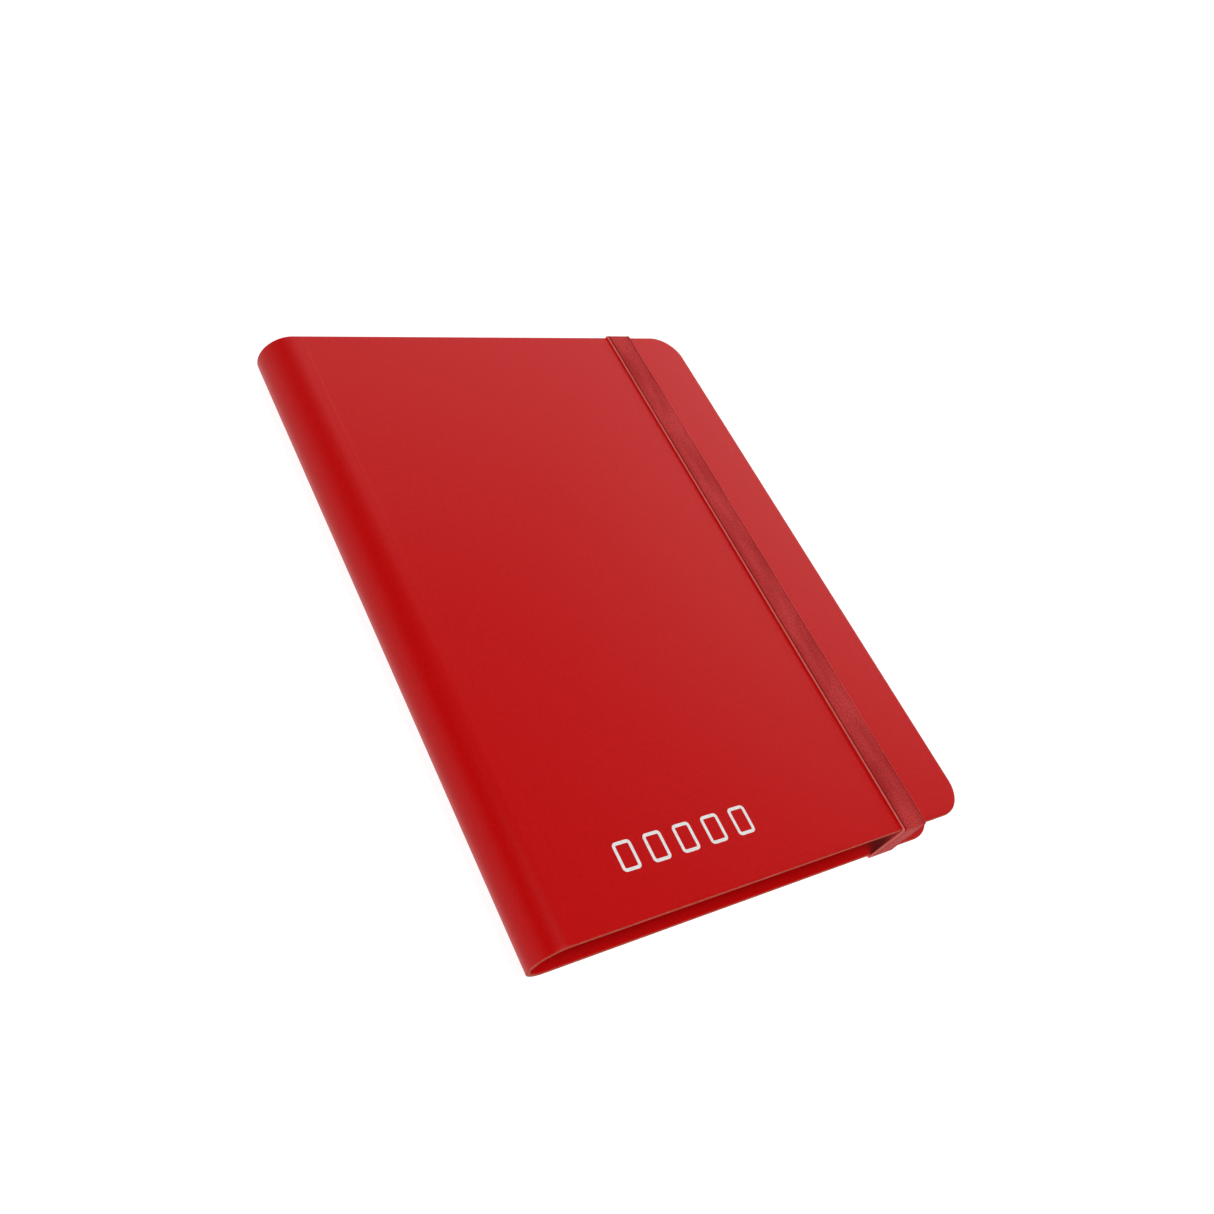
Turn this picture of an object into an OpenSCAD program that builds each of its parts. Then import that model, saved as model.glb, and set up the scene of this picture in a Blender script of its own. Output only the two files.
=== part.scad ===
// Card binder: a sheet cover bent round twenty pocket leaves, held shut by an elastic strap.
// It lies on its back. X runs from the spine to the fore edge, Y from tail to head, Z up.

/* [Cover] */
// Length from the tail edge to the head edge
cover_h = 241; // [225:1:330]
// Width from the spine's outermost line to the front cover's fore edge
cover_w = 190; // [170:1:260]
// How far the back cover reaches past the front cover's fore edge
back_extra = 1.2; // [0:0.1:3]
// Outside thickness over both covers
body_t = 21; // [21:0.5:30]
// Thickness of the cover sheet
sheet_t = 1.4; // [1:0.1:1.4]
// Radius of the covers' fore corners
corner_r = 11.8; // [4:0.1:20]

/* [Leaves] */
// Length of a leaf from tail to head
leaf_h = 216; // [200:1:216]
// Distance from a leaf's fore edge to the front cover's fore edge
leaf_inset = 6; // [5:0.5:12]
// Height from one leaf to the next
leaf_pitch = 0.88; // [0.8:0.01:0.88]
// Thickness of a leaf's centre sheet
web_t = 0.3; // [0.2:0.05:0.3]
// Thickness of a pocket's clear film
film_t = 0.15; // [0.1:0.05:0.15]
// Width of the weld line round a pocket
weld_w = 3; // [2:0.5:5]
// Radius of a leaf's fore corners
leaf_r = 4; // [2:0.5:8]
// Width of the flexible margin between the binding strip and the pockets
margin_w = 23.7; // [20:0.1:26]
// Thickness of a leaf's sheet in that margin
margin_t = 0.2; // [0.15:0.01:0.2]
// How far the binding strip reaches inwards from the inside of the spine
bind_depth = 6; // [4:0.5:8]
// Thickness of the binding strip, over all the leaves' margins
bind_t = 5.4; // [5.2:0.05:5.5]

/* [Strap] */
// Width of the elastic ribbon
strap_w = 12; // [8:1:16]
// Thickness of the elastic ribbon
strap_t = 0.9; // [0.8:0.05:1.2]
// Distance from the strap's outer edge to the front cover's fore edge
strap_inset = 24; // [20:1:40]
// Distance from the head or tail edge to the slot that the strap's end goes through
slot_inset = 8.9; // [8.5:0.1:9.5]

/* [Hidden] */
LEAVES = 20;
STAVES = 5;
joint_gap = 0.05;
weld_rise = 0.05;
slot_play = 0.25;
clip_l = 15;
clip_w = 3.2;
clip_t = 1.8;

spine_r = body_t / 2;
stave_angle = 180 / STAVES;
x_tip = -(cover_w + back_extra) / 2;
x_flat = x_tip + spine_r;
x_front = x_tip + cover_w;
x_back = x_front + back_extra;
y_edge = cover_h / 2;
z_base = strap_t;
z_mid = z_base + spine_r;
z_top = z_base + body_t;

bind_end = x_tip + sheet_t + bind_depth;
bind_pitch = 0.26;
leaf_x = bind_end + margin_w;
leaf_w = x_front - leaf_inset - leaf_x;
pocket_pitch_x = leaf_w / 2;
pocket_pitch_y = leaf_h / 2;
pocket_gap = 1;

strap_x = x_front - strap_inset - strap_w;
slot_y = y_edge - slot_inset;

$fn = 96;

function two_digits(i) = str(i < 10 ? "0" : "", i);
function web_name(i) = str("page_", two_digits(i));
function film_name(i) = str("pockets_", two_digits(i));
function stave_name(k) = str("spine_", k);
function leaf_z(i) = z_mid + (i - (LEAVES + 1) / 2) * leaf_pitch;
function bound_z(i) = z_mid + (i - (LEAVES + 1) / 2) * bind_pitch;

// Plan outline of a flat sheet with its two fore corners rounded
module fore_rounded(x_start, x_end, length, radius) {
    translate([x_start, -length / 2])
        square([x_end - radius - x_start, length]);
    translate([x_start, -length / 2 + radius])
        square([x_end - x_start, length - 2 * radius]);
    for (side = [-1, 1])
        translate([x_end - radius, side * (length / 2 - radius)])
            circle(radius);
}

// Flat part of a cover, from the spine's bend to the fore edge
module cover_panel(x_end) {
    linear_extrude(sheet_t)
        fore_rounded(x_flat + joint_gap / 2, x_end, cover_h, corner_r);
}

module back_cover() {
    color([0.70, 0.11, 0.10])
        difference() {
            translate([0, 0, z_base])
                cover_panel(x_back);
            for (side = [-1, 1])
                translate([
                    strap_x - slot_play,
                    side * slot_y - (strap_t / 2 + slot_play),
                    z_base - 1
                ])
                    cube([strap_w + 2 * slot_play, strap_t + 2 * slot_play, sheet_t + 2]);
        }
}

module front_cover() {
    color([0.76, 0.18, 0.17])
        translate([0, 0, z_top - sheet_t])
            cover_panel(x_front);
}

// One strip of the rolled spine. The sheet bends evenly, so it is divided into equal arcs
// that turn about lines on its outer surface; stave 1 joins the back cover.
module spine_stave(k) {
    trim = joint_gap / 2 / spine_r * 180 / PI;
    from = (k - 1) * stave_angle + trim;
    to = k * stave_angle - trim;
    reach = 2 * spine_r;
    color([0.73, 0.10, 0.10])
        translate([x_flat, 0, z_mid])
            rotate([90, 0, 0])
                linear_extrude(cover_h, center = true)
                    intersection() {
                        difference() {
                            circle(spine_r);
                            circle(spine_r - sheet_t);
                        }
                        polygon(concat(
                            [[0, 0]],
                            [for (a = [from, (from + to) / 2, to]) reach * [-sin(a), -cos(a)]]
                        ));
                    }
}

// Holds the margins of all the leaves together, on the inside of the middle of the spine
module binding_strip() {
    color([0.62, 0.10, 0.09])
        translate([x_flat, 0, z_mid])
            rotate([90, 0, 0])
                linear_extrude(leaf_h, center = true)
                    intersection() {
                        circle(spine_r - sheet_t);
                        translate([x_tip - x_flat, -bind_t / 2])
                            square([bind_end - x_tip, bind_t]);
                    }
}

// The flexible strip of each leaf between the binding strip and the pockets, spread like a fan
module page_margins() {
    color([0.62, 0.10, 0.09])
        rotate([90, 0, 0])
            linear_extrude(leaf_h, center = true)
                for (i = [1:LEAVES])
                    polygon([
                        [bind_end, bound_z(i) - margin_t / 2],
                        [leaf_x - joint_gap, leaf_z(i) - margin_t / 2],
                        [leaf_x - joint_gap, leaf_z(i) + margin_t / 2],
                        [bind_end, bound_z(i) + margin_t / 2]
                    ]);
}

// A leaf's centre sheet, over the stretch that carries the pockets
module page(i) {
    color([0.62, 0.10, 0.09])
        translate([0, 0, leaf_z(i) - web_t / 2])
            linear_extrude(web_t)
                fore_rounded(leaf_x, leaf_x + leaf_w, leaf_h, leaf_r);
}

// One pocket: a clear film raised off the sheet by weld lines on three sides, open to the spine
module pocket() {
    film_w = pocket_pitch_x - pocket_gap;
    film_l = pocket_pitch_y - pocket_gap;
    rise = weld_rise + film_t;
    translate([0, 0, weld_rise])
        cube([film_w, film_l, film_t]);
    cube([film_w, weld_w, rise]);
    translate([0, film_l - weld_w, 0])
        cube([film_w, weld_w, rise]);
    translate([film_w - weld_w, 0, 0])
        cube([weld_w, film_l, rise]);
}

// The pockets on one face of a leaf, two across and two up
module pocket_face() {
    for (column = [0, 1], row = [-1, 0])
        translate([
            leaf_x + column * pocket_pitch_x + pocket_gap / 2,
            row * pocket_pitch_y + pocket_gap / 2,
            web_t / 2
        ])
            pocket();
}

// Both faces' pockets, with the film's outer corners cut to the leaf's own outline
module pockets(i) {
    color([0.85, 0.87, 0.88])
        translate([0, 0, leaf_z(i)])
            intersection() {
                union() {
                    pocket_face();
                    mirror([0, 0, 1])
                        pocket_face();
                }
                translate([0, 0, -1])
                    linear_extrude(2)
                        fore_rounded(leaf_x, leaf_x + leaf_w, leaf_h, leaf_r);
            }
}

// The strap is one ribbon; it is divided at the covers' edges, where it bends when it moves
module strap_front() {
    color([0.68, 0.25, 0.24])
        translate([strap_x, -y_edge - strap_t, z_top])
            cube([strap_w, cover_h + 2 * strap_t, strap_t]);
}

module strap_side() {
    color([0.68, 0.25, 0.24])
        translate([strap_x, y_edge, z_base])
            cube([strap_w, strap_t, body_t]);
}

// From the cover's edge under the back cover, then up through the slot
module strap_end() {
    inner_y = slot_y - strap_t / 2;
    color([0.68, 0.25, 0.24]) {
        translate([strap_x, inner_y, 0])
            cube([strap_w, y_edge + strap_t - inner_y, strap_t]);
        translate([strap_x, inner_y, 0])
            cube([strap_w, strap_t, z_base + sheet_t + clip_t / 2]);
    }
}

// Crimped on the strap's end inside the back cover; too long to pull back through the slot
module strap_clip() {
    color([0.72, 0.72, 0.73])
        difference() {
            translate([strap_x + (strap_w - clip_l) / 2, slot_y - clip_w / 2, z_base + sheet_t])
                cube([clip_l, clip_w, clip_t]);
            translate([strap_x, slot_y - strap_t / 2, z_base + sheet_t - 1])
                cube([strap_w, strap_t, 1 + clip_t / 2]);
        }
}

module at_tail() {
    mirror([0, 1, 0])
        children();
}

back_cover();
front_cover();
for (k = [1:STAVES])
    spine_stave(k);
binding_strip();
page_margins();
for (i = [1:LEAVES])
    page(i);
for (i = [1:LEAVES])
    pockets(i);
strap_front();
strap_side();  // strap_side_head
at_tail() strap_side();  // strap_side_tail
strap_end();  // strap_end_head
at_tail() strap_end();  // strap_end_tail
strap_clip();  // strap_clip_head
at_tail() strap_clip();  // strap_clip_tail
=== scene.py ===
"""Card binder: a bent sheet cover, pocket leaves and an elastic strap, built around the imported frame."""
import math

import bmesh
import bpy
from mathutils import Matrix, Vector


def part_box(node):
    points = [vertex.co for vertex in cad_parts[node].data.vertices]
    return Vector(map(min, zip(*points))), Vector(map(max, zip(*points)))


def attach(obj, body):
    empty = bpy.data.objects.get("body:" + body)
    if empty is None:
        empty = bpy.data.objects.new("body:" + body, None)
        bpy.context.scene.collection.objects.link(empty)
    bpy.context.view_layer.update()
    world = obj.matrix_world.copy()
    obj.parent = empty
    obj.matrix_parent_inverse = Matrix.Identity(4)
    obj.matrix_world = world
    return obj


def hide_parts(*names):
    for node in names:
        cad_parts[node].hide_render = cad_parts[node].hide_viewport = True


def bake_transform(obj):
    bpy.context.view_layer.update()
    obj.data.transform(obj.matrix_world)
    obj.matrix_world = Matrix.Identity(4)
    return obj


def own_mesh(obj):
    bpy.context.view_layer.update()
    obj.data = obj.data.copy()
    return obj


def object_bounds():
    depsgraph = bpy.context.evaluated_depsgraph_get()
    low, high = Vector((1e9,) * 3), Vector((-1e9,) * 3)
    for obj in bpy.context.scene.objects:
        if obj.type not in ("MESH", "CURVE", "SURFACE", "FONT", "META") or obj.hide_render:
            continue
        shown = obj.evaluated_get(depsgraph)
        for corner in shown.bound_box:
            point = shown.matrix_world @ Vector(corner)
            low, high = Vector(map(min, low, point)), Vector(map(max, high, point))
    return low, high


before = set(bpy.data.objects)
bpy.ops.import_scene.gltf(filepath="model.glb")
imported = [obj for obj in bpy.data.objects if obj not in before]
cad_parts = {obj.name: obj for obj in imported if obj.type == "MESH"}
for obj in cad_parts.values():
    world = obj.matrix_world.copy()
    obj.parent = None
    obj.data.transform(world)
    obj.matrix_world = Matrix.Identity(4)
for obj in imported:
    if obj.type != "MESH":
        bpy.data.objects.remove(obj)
CAD_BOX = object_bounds()

MM = 0.001
NEAR = 1e-7  # places closer than this count as the same
UP = Vector((0, 0, 1))
HEADWARD = Vector((0, 1, 0))

LEAVES = 20
STAVES = 5
STAVE_TURN = math.pi / STAVES

# ---- places, all read from the frame ----
BACK_LO, BACK_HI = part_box("back_cover")
FRONT_LO, FRONT_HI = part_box("front_cover")
BIND_LO, BIND_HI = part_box("binding_strip")
BAND_LO, BAND_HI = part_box("strap_front")

SHEET = FRONT_HI.z - FRONT_LO.z
SPINE_R = (FRONT_HI.z - BACK_LO.z) / 2
Z_MID = (FRONT_HI.z + BACK_LO.z) / 2
X_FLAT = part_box("spine_3")[0].x + SPINE_R
Y_EDGE = FRONT_HI.y
STRAP_T = BAND_HI.z - BAND_LO.z
STRAP_HALF = (BAND_HI.x - BAND_LO.x) / 2
STRAP_X = (BAND_LO.x + BAND_HI.x) / 2


# ---- mesh helpers ----
def place(name, bm, materials, smooth_to=40):
    """Turns a bmesh into an object with its materials, sharp where it turns by more than smooth_to."""
    bmesh.ops.recalc_face_normals(bm, faces=bm.faces)
    mesh = bpy.data.meshes.new(name)
    bm.to_mesh(mesh)
    bm.free()
    mesh.set_sharp_from_angle(angle=math.radians(smooth_to))
    for material in materials:
        mesh.materials.append(material)
    piece = bpy.data.objects.new(name, mesh)
    bpy.context.scene.collection.objects.link(piece)
    return piece


def band(bm, near, far, slots=None):
    """Faces between two equal closed loops of vertices, with a material slot for each side."""
    for j in range(len(near)):
        k = (j + 1) % len(near)
        face = bm.faces.new((near[j], near[k], far[k], far[j]))
        face.material_index = slots[j] if slots else 0


def skin(bm, loops, slots=None):
    """Joins equal closed loops of points with faces, and returns their vertices."""
    rows = [[bm.verts.new(point) for point in loop] for loop in loops]
    for near, far in zip(rows, rows[1:]):
        band(bm, near, far, slots)
    return rows


def loft(name, loops, materials, slots=None, smooth_to=40):
    """A closed solid through equal loops of points, capped at both ends."""
    bm = bmesh.new()
    rows = skin(bm, loops, slots)
    bm.faces.new(rows[0])
    bm.faces.new(rows[-1])
    return place(name, bm, materials, smooth_to)


def mirrored(side, points):
    """The points as they are for side 1, at the head, or mirrored to the tail for side -1."""
    return [Vector((p.x, side * p.y, p.z)) for p in points]


def lifted(points, z):
    return [p + Vector((0, 0, z)) for p in points]


def eased(share):
    """A share of 0 to 1 that starts and ends gently."""
    return share * share * (3 - 2 * share)


def rounded_corner(across, out, radius, steps=5):
    """(across, out) points round the corner of a section, from its side to its face."""
    points = []
    for s in range(steps + 1):
        angle = math.pi / 2 * s / steps
        points.append((across - radius * (1 - math.cos(angle)), out - radius * (1 - math.sin(angle))))
    return points


# ---- cover ----
CORNER_R = 11.8 * MM
CORNER_STEPS = 20
EDGE_R = 0.28 * MM
EDGE_STEPS = 4
SUPPORT = 0.8 * MM  # level stretch beside a rounded edge, which keeps a face's shading level
LAP = 3 * MM  # flat stretch at both ends of the bent skin, where it meets the panels
BEND_STEPS = 14
SLOT_PLAY = 0.25 * MM  # room round the strap in its slot
SLOT_END_STEPS = 5

SHEET_SLOT = 0
EDGE_SLOT = 1


def edge_profile(low, high):
    """(inset, height) pairs round the cut edge of a sheet, from its low face to its high one."""
    angles = [math.pi / 2 * s / EDGE_STEPS for s in range(EDGE_STEPS + 1)]
    turn = [(EDGE_R * (1 - math.sin(a)), EDGE_R * (1 - math.cos(a))) for a in angles]
    lower = [(inset, low + rise) for inset, rise in turn]
    upper = [(inset, high - rise) for inset, rise in reversed(turn)]
    return lower + upper


def cover_ring():
    """(y, depth from the outer face) points round the cover's section, with its cut edges rounded."""
    edge = edge_profile(0, SHEET)
    level_to = Y_EDGE - EDGE_R - SUPPORT
    ring = [(Y_EDGE - inset, depth) for inset, depth in edge]
    ring += [(level_to, SHEET), (-level_to, SHEET)]
    ring += [(inset - Y_EDGE, depth) for inset, depth in reversed(edge)]
    ring += [(-level_to, 0), (level_to, 0)]
    return ring


def ring_slots(ring):
    """The cut edge's slot where a side of the ring lies on a rounded edge, and the sheet's elsewhere."""
    level_to = Y_EDGE - EDGE_R - NEAR
    sides = zip(ring, ring[1:] + ring[:1])
    return [EDGE_SLOT if min(abs(a[0]), abs(b[0])) > level_to else SHEET_SLOT for a, b in sides]


def rolled(turn, onward=0.0):
    """Outer point and inward normal of the cover: turn radians round the spine, and onward along X."""
    sine, cosine = math.sin(turn), math.cos(turn)
    point = Vector((X_FLAT - SPINE_R * sine + onward, 0, Z_MID - SPINE_R * cosine))
    return point, Vector((sine, 0, cosine))


def bend_stations(k):
    """Stations of the cover over hinge line k, from the middle of one stave to the next."""
    first = max(0, (k - 0.5) * STAVE_TURN)
    last = min(math.pi, (k + 0.5) * STAVE_TURN)
    steps = BEND_STEPS if 0 < k < STAVES else BEND_STEPS // 2
    stations = [rolled(first + (last - first) * s / steps) for s in range(steps + 1)]
    if k == 0:
        stations = [rolled(0, LAP), rolled(0, LAP / 2)] + stations
    if k == STAVES:
        stations += [rolled(math.pi, LAP / 2), rolled(math.pi, LAP)]
    return stations


def cover_bend(k, materials):
    """The cover over one hinge line, which bends as far as the middles of the staves' inner faces."""
    ring = cover_ring()
    loops = []
    for point, inward in bend_stations(k):
        loops.append([point + HEADWARD * y + inward * depth for y, depth in ring])
    piece = loft(f"cover_bend_{k + 1}", loops, materials, ring_slots(ring))
    hinge, inward = rolled(k * STAVE_TURN)
    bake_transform(piece)
    return piece


def fore_outline(x_end, inset, spine_inset=0.0):
    """Plan outline of a flat cover, rounded at its two fore corners, inset from its edges and the spine."""
    radius = CORNER_R - inset
    x_start = X_FLAT + LAP + spine_inset
    points = [Vector((x_start, -(Y_EDGE - inset), 0))]
    for side, start in ((-1, -90), (1, 0)):
        centre = Vector((x_end - CORNER_R, side * (Y_EDGE - CORNER_R), 0))
        for s in range(CORNER_STEPS + 1):
            angle = math.radians(start + 90 * s / CORNER_STEPS)
            points.append(centre + radius * Vector((math.cos(angle), math.sin(angle), 0)))
    points.append(Vector((x_start, Y_EDGE - inset, 0)))
    return points


def slot_outline(side):
    """Plan outline of a slot for the strap's end, with its ends rounded."""
    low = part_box("strap_end_head")[0].y - SLOT_PLAY
    high = low + STRAP_T + 2 * SLOT_PLAY
    half = STRAP_HALF + SLOT_PLAY
    radius = (high - low) / 2
    points = []
    for direction in (1, -1):
        for s in range(SLOT_END_STEPS + 1):
            angle = math.pi * s / SLOT_END_STEPS - math.pi / 2
            x = STRAP_X + direction * (half - radius + radius * math.cos(angle))
            y = (low + high) / 2 + direction * radius * math.sin(angle)
            points.append(Vector((x, side * y, 0)))
    return points


def panel_loops(x_end, low, high):
    """Loops over the rounded edge of a flat cover, with one more on each face that keeps it level."""
    inner = fore_outline(x_end, EDGE_R + SUPPORT, SUPPORT)
    edge = [lifted(fore_outline(x_end, inset), z) for inset, z in edge_profile(low, high)]
    return [lifted(inner, low)] + edge + [lifted(inner, high)]


def ring_edges(bm, ring):
    return [bm.edges.get((a, b)) or bm.edges.new((a, b)) for a, b in zip(ring, ring[1:] + ring[:1])]


def fill_level(bm, rims):
    """Fills a flat face inside its first rim and round the others, which are its holes."""
    edges = []
    for rim in rims:
        edges += ring_edges(bm, rim)
    bmesh.ops.triangle_fill(bm, use_beauty=True, edges=edges)


def is_level(face):
    heights = [vert.co.z for vert in face.verts]
    return max(heights) - min(heights) < NEAR


def cover_panel(name, body, x_end, low, high, materials, holes=()):
    """A flat cover with rounded cut edges, pierced by its holes."""
    bm = bmesh.new()
    loops = panel_loops(x_end, low, high)
    slots = [EDGE_SLOT] * (len(loops[0]) - 1) + [SHEET_SLOT]
    walls = [skin(bm, loops, slots)]
    for hole in holes:
        walls.append(skin(bm, [lifted(hole, low), lifted(hole, high)], [EDGE_SLOT] * len(hole)))
    for level in (0, -1):
        fill_level(bm, [wall[level] for wall in walls])
    for face in bm.faces:
        if is_level(face):
            face.material_index = SHEET_SLOT
    piece = place(name, bm, materials)
    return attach(piece, body)


def build_cover(materials):
    slots = [slot_outline(1), slot_outline(-1)]
    back = cover_panel("back_panel", "back", BACK_HI.x, BACK_LO.z, BACK_HI.z, materials, slots)
    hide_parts("back_cover")
    front = cover_panel("front_panel", "front", FRONT_HI.x, FRONT_LO.z, FRONT_HI.z, materials)
    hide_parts("front_cover")
    for k in range(STAVES + 1):
        bend = cover_bend(k, materials)
        # six bends cover five staves, so the first one stands for none
        if k:
            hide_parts(f"spine_{k}")


# ---- strap ----
SELVEDGE = 0.5 * MM
SELVEDGE_R = 0.3 * MM
GROOVE = 0.6 * MM
GROOVE_DIP = 0.18 * MM
GROOVE_SHAPE = (0, 0.5, 1, 0.7, 0.35, 0.3)  # shares of the dip, from the selvedge inwards
STRAP_CLEAR = 0.01 * MM  # gap that keeps the ribbon off the covers
STRAP_BEND = 0.75 * MM  # radius of the ribbon's middle where it turns


def ribbon_section():
    """(across, out) outline of the elastic ribbon: a rounded selvedge, a narrow groove, a flat face."""
    thick = STRAP_T / 2 - STRAP_CLEAR
    corner = rounded_corner(STRAP_HALF, thick, SELVEDGE_R)
    groove = []
    for s, share in enumerate(GROOVE_SHAPE):
        across = STRAP_HALF - SELVEDGE - GROOVE * s / (len(GROOVE_SHAPE) - 1)
        groove.append((across, thick - GROOVE_DIP * share))
    right = corner + groove
    upper = right + [(-u, v) for u, v in reversed(right)]
    lower = [(-u, -v) for u, v in corner] + [(u, -v) for u, v in reversed(corner)]
    return upper + lower


def arc_stations(centre, start, end, steps=7):
    """Stations round a bend in the YZ plane: (point, outward), between two angles in degrees."""
    found = []
    for s in range(steps + 1):
        angle = math.radians(start + (end - start) * s / steps)
        outward = Vector((0, math.cos(angle), math.sin(angle)))
        found.append((centre + outward * STRAP_BEND, outward))
    return found


def straight(start, end, outward, steps):
    """Stations along a straight run, without its two ends."""
    return [(start.lerp(end, s / steps), outward) for s in range(1, steps)]


def ribbon(name, side, stations, materials):
    """A stretch of the strap through its stations, at the head for side 1 and the tail for side -1."""
    section = ribbon_section()
    across = Vector((1, 0, 0))
    loops = []
    for point, outward in stations:
        loops.append(mirrored(side, [point + across * u + outward * v for u, v in section]))
    piece = loft(name, loops, materials)
    return piece


def strap_bends():
    """Centres of the three bends at the head end of the strap, from the front run to the slot."""
    mid = STRAP_T / 2
    y_bend = BAND_HI.y - mid - STRAP_BEND
    y_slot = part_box("strap_end_head")[0].y + mid
    z_low = BACK_LO.z - mid + STRAP_BEND
    top = Vector((STRAP_X, y_bend, BAND_LO.z + mid - STRAP_BEND))
    bottom = Vector((STRAP_X, y_bend, z_low))
    inner = Vector((STRAP_X, y_slot + STRAP_BEND, z_low))
    return top, bottom, inner


def build_strap_front(materials):
    """The run over the front cover."""
    top, _, _ = strap_bends()
    end = top + UP * STRAP_BEND
    other_end = Vector((end.x, -end.y, end.z))
    run = [(other_end, UP)] + straight(other_end, end, UP, 24) + [(end, UP)]
    front = ribbon("strap_over_front", 1, run, materials)
    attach(front, "strap")
    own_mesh(front)
    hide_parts("strap_front")


def build_strap_side(where, side, materials):
    """The run down past the covers' edges."""
    top, bottom, _ = strap_bends()
    end = bottom + HEADWARD * STRAP_BEND
    run = arc_stations(top, 90, 0)
    run += straight(run[-1][0], end, HEADWARD, 8) + [(end, HEADWARD)]
    down = ribbon(f"strap_down_{where}", side, run, materials)
    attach(down, "back")
    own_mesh(down)
    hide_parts(f"strap_side_{where}")


def build_strap_end(where, side, materials):
    """From the edge under the back cover to the slot, and up through it into the clip."""
    _, bottom, inner = strap_bends()
    tip = Vector((STRAP_X, inner.y - STRAP_BEND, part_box(f"strap_end_{where}")[1].z))
    run = arc_stations(bottom, 0, -90)
    run += straight(run[-1][0], inner - UP * STRAP_BEND, -UP, 5)
    run += arc_stations(inner, -90, -180)
    run += straight(run[-1][0], tip, -HEADWARD, 3) + [(tip, -HEADWARD)]
    end = ribbon(f"strap_under_{where}", side, run, materials)
    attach(end, "back")
    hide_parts(f"strap_end_{where}")


def build_strap(materials):
    build_strap_front(materials)
    for where, side in (("head", 1), ("tail", -1)):
        build_strap_side(where, side, materials)
        build_strap_end(where, side, materials)


# ---- strap clips ----
CLIP_PINCHES = 5
PINCH_STEPS = 10
PINCH_SINK = 0.22  # share of the clip's height that a pinch takes
PINCH_SQUEEZE = 0.12  # share of its width
CLIP_ROUND = 0.9 * MM
CLIP_CLEAR = 0.01 * MM


def clip_section(low, high, pinch):
    """(y, z) outline of the folded clip: a narrow U that opens downwards on the strap's end."""
    height = (high.z - low.z) * (1 - PINCH_SINK * pinch)
    outer = (high.y - low.y) / 2 * (1 - PINCH_SQUEEZE * pinch)
    gap = STRAP_T / 2 + CLIP_CLEAR
    roof = height / 2
    right = [(gap, 0), (outer, 0)] + rounded_corner(outer, height, CLIP_ROUND)
    left = [(-y, z) for y, z in reversed(right)]
    return right + left + [(-gap, roof), (gap, roof)]


def build_clip(where, material):
    """A steel channel folded over the strap's end, pinched at even steps along it."""
    low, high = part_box(f"strap_clip_{where}")
    middle = (low.y + high.y) / 2
    steps = PINCH_STEPS * CLIP_PINCHES
    loops = []
    for s in range(steps + 1):
        share = s / steps
        pinch = 0.5 - 0.5 * math.cos(2 * math.pi * CLIP_PINCHES * share)
        x = low.x + (high.x - low.x) * share
        section = clip_section(low, high, pinch)
        loops.append([Vector((x, middle + y, low.z + z)) for y, z in section])
    clip = loft(f"clip_{where}", loops, [material], smooth_to=50)
    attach(clip, "back")
    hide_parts(f"strap_clip_{where}")


# ---- binding strip ----
CRIMPS = 27
CRIMP_STEPS = 6
CRIMP_DEPTH = 0.35 * MM
NOSE = 1.2 * MM  # length of the bevel on the side of the leaves
NOSE_DROP = 0.1 * MM  # and its height
BACK_STEPS = 8


def binding_section(dip):
    """Outline in XZ of the strip: an arc along the inside of the spine, and two faces pressed in by dip."""
    half = (BIND_HI.z - BIND_LO.z) / 2
    lean = math.asin(half / (SPINE_R - SHEET))
    loop = []
    for s in range(BACK_STEPS + 1):
        point, inward = rolled(math.pi / 2 + lean * (2 * s / BACK_STEPS - 1))
        loop.append(point + inward * SHEET)
    face = half - dip
    fore = ((-NOSE, face), (0, face - NOSE_DROP), (0, NOSE_DROP - face), (-NOSE, -face))
    return loop + [Vector((BIND_HI.x + x, 0, Z_MID + z)) for x, z in fore]


def build_binding(material):
    """The strip that holds the leaves, crimped at even steps where it is welded."""
    steps = CRIMPS * CRIMP_STEPS
    loops = []
    for s in range(steps + 1):
        y = BIND_LO.y + (BIND_HI.y - BIND_LO.y) * s / steps
        crimp = max(0.0, -math.cos(2 * math.pi * CRIMPS * s / steps)) ** 0.5
        loops.append([point + HEADWARD * y for point in binding_section(CRIMP_DEPTH * crimp)])
    strip = loft("spine_binding", loops, [material])
    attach(strip, "spine_3")
    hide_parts("binding_strip")


# ---- leaves ----
BOUND_PITCH = 0.26 * MM  # height from one leaf to the next at the binding strip
LEAF_CORNER = 4 * MM
LEAF_CORNER_STEPS = 8
MARGIN_STEPS = 18
MARGIN_HALF = 0.1 * MM  # half the thickness of a leaf's margin


def two_digits(i):
    return f"{i:02d}"


def bound_z(i):
    """Height at which a leaf comes out of the binding strip."""
    return Z_MID + (i - (LEAVES + 1) / 2) * BOUND_PITCH


def leaf_stations(i):
    """(x, half length, centre height, half thickness) along a leaf, from the binding to the fore edge."""
    low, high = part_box(f"page_{two_digits(i)}")
    z_leaf = (low.z + high.z) / 2
    web_half = (high.z - low.z) / 2
    stations = []
    for s in range(MARGIN_STEPS + 1):
        share = s / MARGIN_STEPS
        ease = eased(share)
        x = BIND_HI.x + (low.x - BIND_HI.x) * share
        z = bound_z(i) + (z_leaf - bound_z(i)) * ease
        stations.append((x, high.y, z, MARGIN_HALF + (web_half - MARGIN_HALF) * ease))
    for s in range(LEAF_CORNER_STEPS + 1):
        angle = math.pi / 2 * (1 - s / LEAF_CORNER_STEPS)
        x = high.x - LEAF_CORNER + LEAF_CORNER * math.cos(angle)
        y = high.y - LEAF_CORNER + LEAF_CORNER * math.sin(angle)
        stations.append((x, y, z_leaf, web_half))
    return stations


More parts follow.
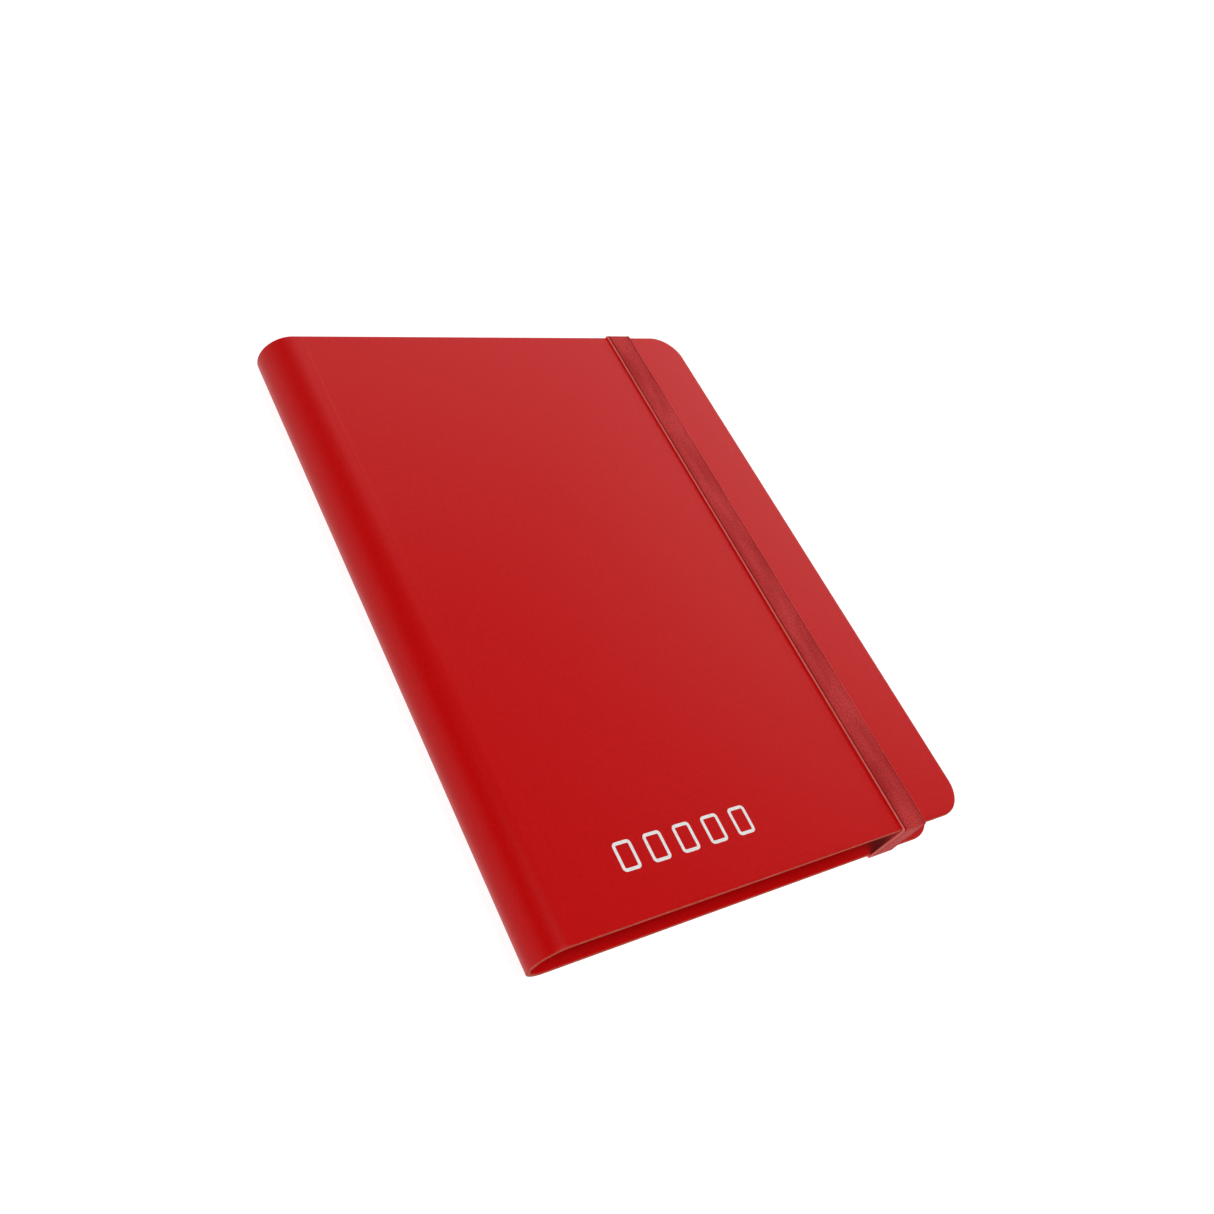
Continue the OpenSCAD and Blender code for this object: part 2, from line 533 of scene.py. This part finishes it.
def build_leaf(i, material):
    """One leaf's sheet with its margin, which bends between the binding strip and the pockets."""
    loops = []
    for x, y, z, half in leaf_stations(i):
        corners = ((-y, -half), (y, -half), (y, half), (-y, half))
        loops.append([Vector((x, across, z + rise)) for across, rise in corners])
    leaf = loft(f"leaf_{two_digits(i)}", loops, [material], smooth_to=30)
    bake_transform(leaf)
    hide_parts(f"page_{two_digits(i)}")
    return leaf


# ---- pockets ----
POCKET_GAP = 1 * MM  # between two pockets
POCKET_MOUTH = 0.4 * MM  # from a pocket's open border to the next grid line
WELD = 3 * MM
WELD_H = 0.07 * MM  # heights of the weld, the film and its underside over the leaf's sheet
FILM_H = 0.195 * MM
FILM_CLEAR = 0.004 * MM
FILM_RISE = 0.8 * MM  # distance over which the film rises off its weld

FILM_SLOT = 0
WELD_SLOT = 1


def pocket_height(inset):
    """Height of the film at a distance from the pocket's border: pressed flat on the weld, then raised."""
    rise = min(1.0, max(0.0, (inset - WELD) / FILM_RISE))
    return WELD_H + (FILM_H - WELD_H) * eased(rise)


def weld_insets():
    """Distances from a welded border of the grid lines over its weld and the film's rise."""
    return [0.0] + [WELD + FILM_RISE * s / 4 for s in range(5)]


def pocket_marks(start, end, first_insets):
    """Places of the grid lines across a pocket, close together where the film leaves the weld."""
    first = [start + inset for inset in first_insets]
    last = [end - inset for inset in reversed(weld_insets())]
    middle = [first[-1] + (last[0] - first[-1]) * s / 4 for s in (1, 2, 3)]
    return first + middle + last


def clipped(x, y, corner_x, corner_y):
    """Keeps a point inside the leaf's rounded fore corner."""
    dx, dy = x - corner_x, abs(y) - corner_y
    reach = LEAF_CORNER - POCKET_GAP / 2
    if dx <= 0 or dy <= 0 or math.hypot(dx, dy) <= reach:
        return x, y
    scale = reach / math.hypot(dx, dy)
    return corner_x + dx * scale, math.copysign(corner_y + dy * scale, y)


def film_grid(bm, x_range, y_range, z_web, side, corner):
    """Rows of vertices over one pocket, open at its first border in X and welded at the other three."""
    grid = []
    for x in pocket_marks(*x_range, [0.0, POCKET_MOUTH]):
        row = []
        for y in pocket_marks(*y_range, weld_insets()):
            inset = min(x_range[1] - x, y - y_range[0], y_range[1] - y)
            row.append(bm.verts.new((*clipped(x, y, *corner), z_web + side * pocket_height(inset))))
        grid.append(row)
    return grid


def border(grid):
    """Vertices round the outside of a grid, in order."""
    start = [row[0] for row in grid]
    end = [row[-1] for row in reversed(grid[:-1])]
    return start + grid[-1][1:] + end + list(reversed(grid[0][1:-1]))


def add_pocket(bm, x_range, y_range, z_web, side, corner):
    """One clear pocket as a closed shell: a raised film inside weld lines on three sides."""
    grid = film_grid(bm, x_range, y_range, z_web, side, corner)
    for near, far in zip(grid, grid[1:]):
        for j in range(len(near) - 1):
            face = bm.faces.new((near[j], far[j], far[j + 1], near[j + 1]))
            height = max(side * (vert.co.z - z_web) for vert in face.verts)
            face.material_index = WELD_SLOT if height < WELD_H + NEAR else FILM_SLOT
    rim = border(grid)
    base = [bm.verts.new((vert.co.x, vert.co.y, z_web + side * FILM_CLEAR)) for vert in rim]
    band(bm, rim, base)
    bm.faces.new(base)


def build_pockets(i, materials):
    """The four pockets on each face of a leaf."""
    low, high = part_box(f"page_{two_digits(i)}")
    pitch_x = (high.x - low.x) / 2
    pitch_y = high.y
    corner = (high.x - LEAF_CORNER, high.y - LEAF_CORNER)
    bm = bmesh.new()
    for side, z_web in ((1, high.z), (-1, low.z)):
        for column in (0, 1):
            x_start = low.x + column * pitch_x + POCKET_GAP / 2
            x_range = (x_start, x_start + pitch_x - POCKET_GAP)
            for row in (-1, 0):
                y_start = row * pitch_y + POCKET_GAP / 2
                y_range = (y_start, y_start + pitch_y - POCKET_GAP)
                add_pocket(bm, x_range, y_range, z_web, side, corner)
    films = place(f"pocket_films_{two_digits(i)}", bm, materials, 30)
    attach(films, f"leaf_{two_digits(i)}")
    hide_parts(f"pockets_{two_digits(i)}")


# ---- printed motif ----
MARK_CARDS = 5
MARK_X, MARK_Y = -58 * MM, -105 * MM
MARK_PITCH = 12 * MM
MARK_W, MARK_L = 7.2 * MM, 10 * MM
MARK_LINE = 1.1 * MM
MARK_OUTER_R, MARK_INNER_R = 1.5 * MM, 0.5 * MM
MARK_T = 0.03 * MM


def rounded_box_outline(centre, half_x, half_y, radius, steps=6):
    points = []
    for sx, sy, start in ((1, 1, 0), (-1, 1, 90), (-1, -1, 180), (1, -1, 270)):
        for s in range(steps + 1):
            angle = math.radians(start + 90 * s / steps)
            x = centre.x + sx * (half_x - radius) + radius * math.cos(angle)
            y = centre.y + sy * (half_y - radius) + radius * math.sin(angle)
            points.append(Vector((x, y, 0)))
    return points


def build_motif(material):
    """A plain row of card outlines, in place of lettering."""
    bm = bmesh.new()
    low, high = FRONT_HI.z, FRONT_HI.z + MARK_T
    half_w, half_l = MARK_W / 2, MARK_L / 2
    for n in range(MARK_CARDS):
        centre = Vector((MARK_X + half_w + n * MARK_PITCH, MARK_Y + half_l, 0))
        outer = rounded_box_outline(centre, half_w, half_l, MARK_OUTER_R)
        inner = rounded_box_outline(centre, half_w - MARK_LINE, half_l - MARK_LINE, MARK_INNER_R)
        rows = skin(bm, [lifted(outer, low), lifted(outer, high), lifted(inner, high), lifted(inner, low)])
        band(bm, rows[-1], rows[0])
    motif = place("printed_motif", bm, [material])
    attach(motif, "front")


# ---- shader helpers ----
def feed(tree, socket, value):
    """Links a socket to another one, or gives it a constant."""
    if isinstance(value, bpy.types.NodeSocket):
        tree.links.new(value, socket)
    else:
        socket.default_value = value


def set_inputs(tree, made, **inputs):
    """Feeds a node's inputs by name, with _ for a space."""
    for key, value in inputs.items():
        feed(tree, made.inputs[key.replace("_", " ")], value)


def node(tree, kind, settings=None, **inputs):
    """Adds a shader node, with attributes from settings and its inputs fed by name."""
    made = tree.nodes.new(kind)
    for key, value in (settings or {}).items():
        setattr(made, key, value)
    set_inputs(tree, made, **inputs)
    return made


def computed(tree, operation, *values):
    """Result of a math node on its values, in order."""
    made = node(tree, "ShaderNodeMath", {"operation": operation})
    for socket, value in zip(made.inputs, values):
        feed(tree, socket, value)
    return made.outputs[0]


def remapped(tree, value, start, end, low=0.0, high=1.0):
    """Maps a value's range of start to end onto low to high."""
    made = node(tree, "ShaderNodeMapRange", Value=value, From_Min=start, From_Max=end)
    set_inputs(tree, made, To_Min=low, To_Max=high)
    return made.outputs["Result"]


def stretched(tree, where, factors):
    """Coordinates times a factor for each axis, which stretches a pattern."""
    made = node(tree, "ShaderNodeVectorMath", {"operation": "MULTIPLY"})
    feed(tree, made.inputs[0], where)
    feed(tree, made.inputs[1], factors)
    return made.outputs[0]


def noise(tree, where, scale, detail):
    return node(tree, "ShaderNodeTexNoise", Vector=where, Scale=scale, Detail=detail).outputs["Fac"]


def waves(tree, where, along, scale, distortion=0.0):
    """Even stripes across one direction."""
    settings = {"bands_direction": along}
    made = node(tree, "ShaderNodeTexWave", settings, Vector=where, Scale=scale, Distortion=distortion)
    return made.outputs["Fac"]


def mottled(tree, where, scale, dark, light, detail=3.0):
    """Colour that drifts between two values with a noise of that scale."""
    ramp = node(tree, "ShaderNodeValToRGB", Fac=noise(tree, where, scale, detail))
    for stop, position, colour in zip(ramp.color_ramp.elements, (0.35, 0.65), (dark, light)):
        stop.position = position
        stop.color = colour
    return ramp.outputs["Color"]


def layered(tree, share, below, above, blend="MIX"):
    """One colour over another, by a share of 0 to 1."""
    made = node(tree, "ShaderNodeMixRGB", {"blend_type": blend}, Fac=share, Color1=below, Color2=above)
    return made.outputs["Color"]


def bump(tree, height, strength, distance, under=None):
    """Normal of a surface with fine relief, on top of the relief under it."""
    made = node(tree, "ShaderNodeBump", Height=height, Strength=strength, Distance=distance)
    if under is not None:
        feed(tree, made.inputs["Normal"], under)
    return made.outputs["Normal"]


def srgb(red, green, blue):
    """Linear colour from display values of 0 to 255."""
    shares = [c / 255 for c in (red, green, blue)]
    linear = [c / 12.92 if c <= 0.04045 else ((c + 0.055) / 1.055) ** 2.4 for c in shares]
    return (*linear, 1)


def new_material(name):
    """A material, its node tree and shader, and the coordinates of the object's own frame."""
    material = bpy.data.materials.new(name)
    material.use_nodes = True
    tree = material.node_tree
    where = tree.nodes.new("ShaderNodeTexCoord").outputs["Object"]
    return material, tree, tree.nodes["Principled BSDF"], where


# ---- materials ----
def grained_sheet(name, tones, roughness, scale, depth, specular=0.3):
    """Matte polypropylene: a fine pebble grain of that scale and depth over a slow, faint unevenness."""
    material, tree, shader, where = new_material(name)
    tone = mottled(tree, where, 900, *tones)
    grain = noise(tree, where, scale, detail=2.0)
    swell = bump(tree, noise(tree, where, 22, detail=1.0), strength=0.12, distance=0.3 * MM)
    relief = bump(tree, grain, strength=0.5, distance=depth, under=swell)
    rough = remapped(tree, grain, 0.0, 1.0, roughness - 0.04, roughness + 0.05)
    set_inputs(tree, shader, Base_Color=tone, Normal=relief, Roughness=rough, Specular_IOR_Level=specular)
    return material


def cover_material():
    tones = srgb(184, 1, 3), srgb(190, 4, 5)
    return grained_sheet("cover_sheet_red", tones, roughness=0.38, scale=1500, depth=0.05 * MM, specular=0.14)


def cut_edge_material():
    tones = srgb(164, 56, 42), srgb(182, 70, 54)
    return grained_sheet("cover_cut_edge", tones, roughness=0.6, scale=2600, depth=0.02 * MM, specular=0.05)


def page_material():
    tones = srgb(150, 12, 14), srgb(158, 18, 18)
    return grained_sheet("page_sheet_red", tones, roughness=0.45, scale=2200, depth=0.02 * MM)


def ink_material():
    tones = srgb(222, 220, 218), srgb(232, 231, 229)
    return grained_sheet("motif_ink", tones, roughness=0.5, scale=2600, depth=0.01 * MM)


# painted shade that darkens the ribbon's groove on the spine's side
STRAP_GROOVE_SHADE = srgb(146, 18, 20)
# painted highlight on both rounded edges of the ribbon
STRAP_EDGE_HIGHLIGHT = srgb(246, 126, 116)
SHEEN_TINT = srgb(255, 190, 185)
GROOVE_SHADE_STARTS = 0.2 * MM  # the groove's painted shade starts this far short of the groove
GROOVE_SHADE_FULL = 0.15 * MM  # and is full this far into it
HIGHLIGHT_STARTS = 0.3 * MM  # the painted highlight on a rounded edge starts this far from the ribbon's side
HIGHLIGHT_FULL = 0.12 * MM  # and is full this far from it


def selvedge_shade_and_highlight(tree, x, tone):
    """The ribbon's tone, with painted shade in the groove on the spine's side and a painted highlight on both
    rounded edges.
    """
    aside = computed(tree, "SUBTRACT", STRAP_X, x)
    beyond = computed(tree, "ABSOLUTE", aside)
    groove = STRAP_HALF - SELVEDGE - GROOVE
    # painted shade in the groove on the spine's side
    groove_shade = remapped(tree, aside, groove - GROOVE_SHADE_STARTS, groove + GROOVE_SHADE_FULL)
    # painted highlight on both rounded edges
    edge_highlight = remapped(tree, beyond, STRAP_HALF - HIGHLIGHT_STARTS, STRAP_HALF - HIGHLIGHT_FULL)
    return layered(tree, edge_highlight, layered(tree, groove_shade, tone, STRAP_GROOVE_SHADE), STRAP_EDGE_HIGHLIGHT)


def strap_material():
    """Knitted elastic: ribs along the ribbon, fine courses across it, a soft fuzzy sheen, and painted shade
    and a painted highlight along its selvedges.
    """
    material, tree, shader, where = new_material("elastic_knit")
    parts = node(tree, "ShaderNodeSeparateXYZ", Vector=where).outputs
    along = computed(tree, "SUBTRACT", computed(tree, "ABSOLUTE", parts["Y"]), parts["Z"])
    flat = node(tree, "ShaderNodeCombineXYZ", X=parts["X"], Y=along).outputs[0]
    ribs = waves(tree, flat, "X", scale=420.0, distortion=0.4)
    courses = waves(tree, flat, "Y", scale=640.0, distortion=0.8)
    knit = computed(tree, "MULTIPLY", ribs, courses)
    drift = stretched(tree, flat, (2.2, 0.55, 1))
    tone = mottled(tree, drift, 60, srgb(182, 43, 45), srgb(208, 64, 64), detail=4.0)
    fuzz = mottled(tree, where, 1500, srgb(192, 168, 168), srgb(255, 255, 255))
    # painted shade in the groove and a painted highlight on the rounded edges, over the ribbon's tone
    tone = selvedge_shade_and_highlight(tree, parts["X"], layered(tree, 0.7, tone, fuzz, "MULTIPLY"))
    shade = node(tree, "ShaderNodeValToRGB", Fac=knit)
    shade.color_ramp.elements[0].color = srgb(175, 165, 165)
    tone = layered(tree, 0.3, tone, shade.outputs["Color"], "MULTIPLY")
    relief = bump(tree, knit, strength=0.5, distance=0.07 * MM)
    set_inputs(tree, shader, Base_Color=tone, Normal=relief)
    set_inputs(tree, shader, Roughness=0.65, Specular_IOR_Level=0.05)
    set_inputs(tree, shader, Sheen_Weight=0.03, Sheen_Roughness=0.4, Sheen_Tint=SHEEN_TINT)
    return material


def steel_material():
    """Plated steel, brushed along the clip."""
    material, tree, shader, where = new_material("clip_steel")
    brushed = stretched(tree, where, (0.06, 1, 1))
    tone = mottled(tree, brushed, 900, srgb(192, 192, 194), srgb(216, 216, 217))
    relief = bump(tree, noise(tree, brushed, 6000, detail=2.0), strength=0.2, distance=0.01 * MM)
    set_inputs(tree, shader, Base_Color=tone, Normal=relief, Metallic=1.0, Roughness=0.42)
    return material


EDGE_ON_POWER = 5.0
EDGE_ON_GLOSS = 0.85  # added to a film's least gloss where it is seen edge on


def clear_material(name, roughness, tint, relief_of, least_gloss):
    """Clear film: see-through, with a gloss over its relief that grows as it is seen edge on."""
    material, tree, shader, where = new_material(name)
    relief = relief_of(tree, where)
    clear = node(tree, "ShaderNodeBsdfTransparent", Color=tint)
    gloss = node(tree, "ShaderNodeBsdfGlossy", Roughness=roughness, Normal=relief)
    facing = node(tree, "ShaderNodeLayerWeight", Blend=0.5, Normal=relief).outputs["Facing"]
    edge_on = computed(tree, "POWER", facing, EDGE_ON_POWER)
    share = computed(tree, "MULTIPLY_ADD", edge_on, EDGE_ON_GLOSS, least_gloss)
    mix = node(tree, "ShaderNodeMixShader", Fac=share)
    feed(tree, mix.inputs[1], clear.outputs[0])
    feed(tree, mix.inputs[2], gloss.outputs[0])
    tree.nodes.remove(shader)
    feed(tree, tree.nodes["Material Output"].inputs["Surface"], mix.outputs[0])
    return material


def film_ripple(tree, where):
    return bump(tree, noise(tree, where, 45, detail=2.0), strength=0.35, distance=1.2 * MM)


def weld_ribs(tree, where):
    return bump(tree, waves(tree, where, "DIAGONAL", scale=500.0), strength=0.7, distance=0.1 * MM)


def film_material():
    tint = (0.98, 0.985, 0.985, 1)
    return clear_material("clear_film", 0.14, tint, relief_of=film_ripple, least_gloss=0.06)


def weld_material():
    """The film where it is welded: frosted and ribbed."""
    tint = (0.93, 0.94, 0.94, 1)
    return clear_material("film_weld", 0.35, tint, relief_of=weld_ribs, least_gloss=0.12)


def floor_material():
    """A pale studio floor that glows enough to read as white under its own shadows."""
    material, tree, shader, where = new_material("studio_floor")
    tone = mottled(tree, where, 3, srgb(122, 122, 122), srgb(128, 128, 128))
    set_inputs(tree, shader, Base_Color=tone, Roughness=0.9, Specular_IOR_Level=0.1)
    set_inputs(tree, shader, Emission_Color=(1, 1, 1, 1), Emission_Strength=0.94)
    return material


# ---- studio ----
VIEW_TARGET = Vector((-4.8 * MM, -5.9 * MM, Z_MID))
VIEW_AZIMUTH = -55.92
VIEW_ELEVATION = 43.66
VIEW_ROLL = 36.72
VIEW_DISTANCE = 459.3 * MM
VIEW_LENS = 37.34

FLOOR_HALF = 3.0
FLOOR_DROP = 0.05 * MM
SKY_STOPS = ((0.0, 1.0), (0.45, 0.8), (0.6, 0.32), (0.72, 0.06), (0.86, 0.01))  # (height, brightness)
SKY_BRIGHT_AZIMUTH = 128


def direction(azimuth, elevation):
    """Unit vector from the object, where azimuth 0 is towards -Y and 90 towards +X, in degrees."""
    a, e = math.radians(azimuth), math.radians(elevation)
    return Vector((math.sin(a) * math.cos(e), -math.cos(a) * math.cos(e), math.sin(e)))


def aimed(target, toward, distance):
    """Place of a camera or lamp that looks at the target from a distance in that direction."""
    turn = toward.to_track_quat("Z", "Y").to_matrix().to_4x4()
    return Matrix.Translation(target + toward * distance) @ turn


def add_camera():
    data = bpy.data.cameras.new("camera")
    data.lens = VIEW_LENS
    data.sensor_width = 36
    data.clip_start = 0.01
    camera = bpy.data.objects.new("camera", data)
    bpy.context.scene.collection.objects.link(camera)
    level = aimed(VIEW_TARGET, direction(VIEW_AZIMUTH, VIEW_ELEVATION), VIEW_DISTANCE)
    camera.matrix_world = level @ Matrix.Rotation(math.radians(VIEW_ROLL), 4, "Z")
    bpy.context.scene.camera = camera


def add_softbox(name, azimuth, elevation, distance, size, watts):
    data = bpy.data.lights.new(name, "AREA")
    data.shape = "DISK"
    data.size = size
    data.energy = watts
    lamp = bpy.data.objects.new(name, data)
    lamp.visible_camera = False
    bpy.context.scene.collection.objects.link(lamp)
    lamp.matrix_world = aimed(Vector(), direction(azimuth, elevation), distance)


def studio_world():
    """A white horizon under a dim ceiling, whose slope is brighter on the side of the fore edge."""
    world = bpy.data.worlds.new("studio")
    world.use_nodes = True
    tree = world.node_tree
    where = tree.nodes.new("ShaderNodeTexCoord").outputs["Generated"]
    height = node(tree, "ShaderNodeSeparateXYZ", Vector=where).outputs["Z"]
    sky = node(tree, "ShaderNodeValToRGB", Fac=height)
    for level, _ in SKY_STOPS[2:]:
        sky.color_ramp.elements.new(level)
    for stop, (level, bright) in zip(sky.color_ramp.elements, SKY_STOPS):
        stop.position = level
        stop.color = (bright, bright, bright, 1)
    across = node(tree, "ShaderNodeVectorMath", {"operation": "DOT_PRODUCT"})
    feed(tree, across.inputs[0], where)
    feed(tree, across.inputs[1], direction(SKY_BRIGHT_AZIMUTH, 0))
    dim = remapped(tree, height, 0.3, 0.5, 1.0, 0.1)
    side = remapped(tree, across.outputs["Value"], -0.35, 0.35, dim)
    set_inputs(tree, tree.nodes["Background"], Color=sky.outputs["Color"], Strength=side)
    return world


def add_studio():
    bm = bmesh.new()
    bmesh.ops.create_grid(bm, x_segments=8, y_segments=8, size=FLOOR_HALF)
    bmesh.ops.translate(bm, verts=bm.verts, vec=(0, 0, CAD_BOX[0].z - FLOOR_DROP))
    floor = place("floor", bm, [floor_material()])
    bpy.context.scene.world = studio_world()
    add_softbox("key_light", azimuth=-20, elevation=74, distance=2.4, size=0.9, watts=36.6)
    add_softbox("fore_light", azimuth=114, elevation=21, distance=0.95, size=0.7, watts=2.0)
    add_softbox("head_light", azimuth=164, elevation=28, distance=0.65, size=0.6, watts=0.9)
    bpy.context.scene.view_settings.view_transform = "Standard"


def build():
    build_cover([cover_material(), cut_edge_material()])
    build_strap([strap_material()])
    steel = steel_material()
    for where in ("head", "tail"):
        build_clip(where, steel)
    page_red = page_material()
    build_binding(page_red)
    clear = [film_material(), weld_material()]
    for i in range(1, LEAVES + 1):
        leaf = build_leaf(i, page_red)
        # every leaf carries its own margin, and the lowest one stands for the node of all the margins
        if i == 1:
            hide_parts("page_margins")
        build_pockets(i, clear)
    build_motif(ink_material())


add_camera()
add_studio()
build()
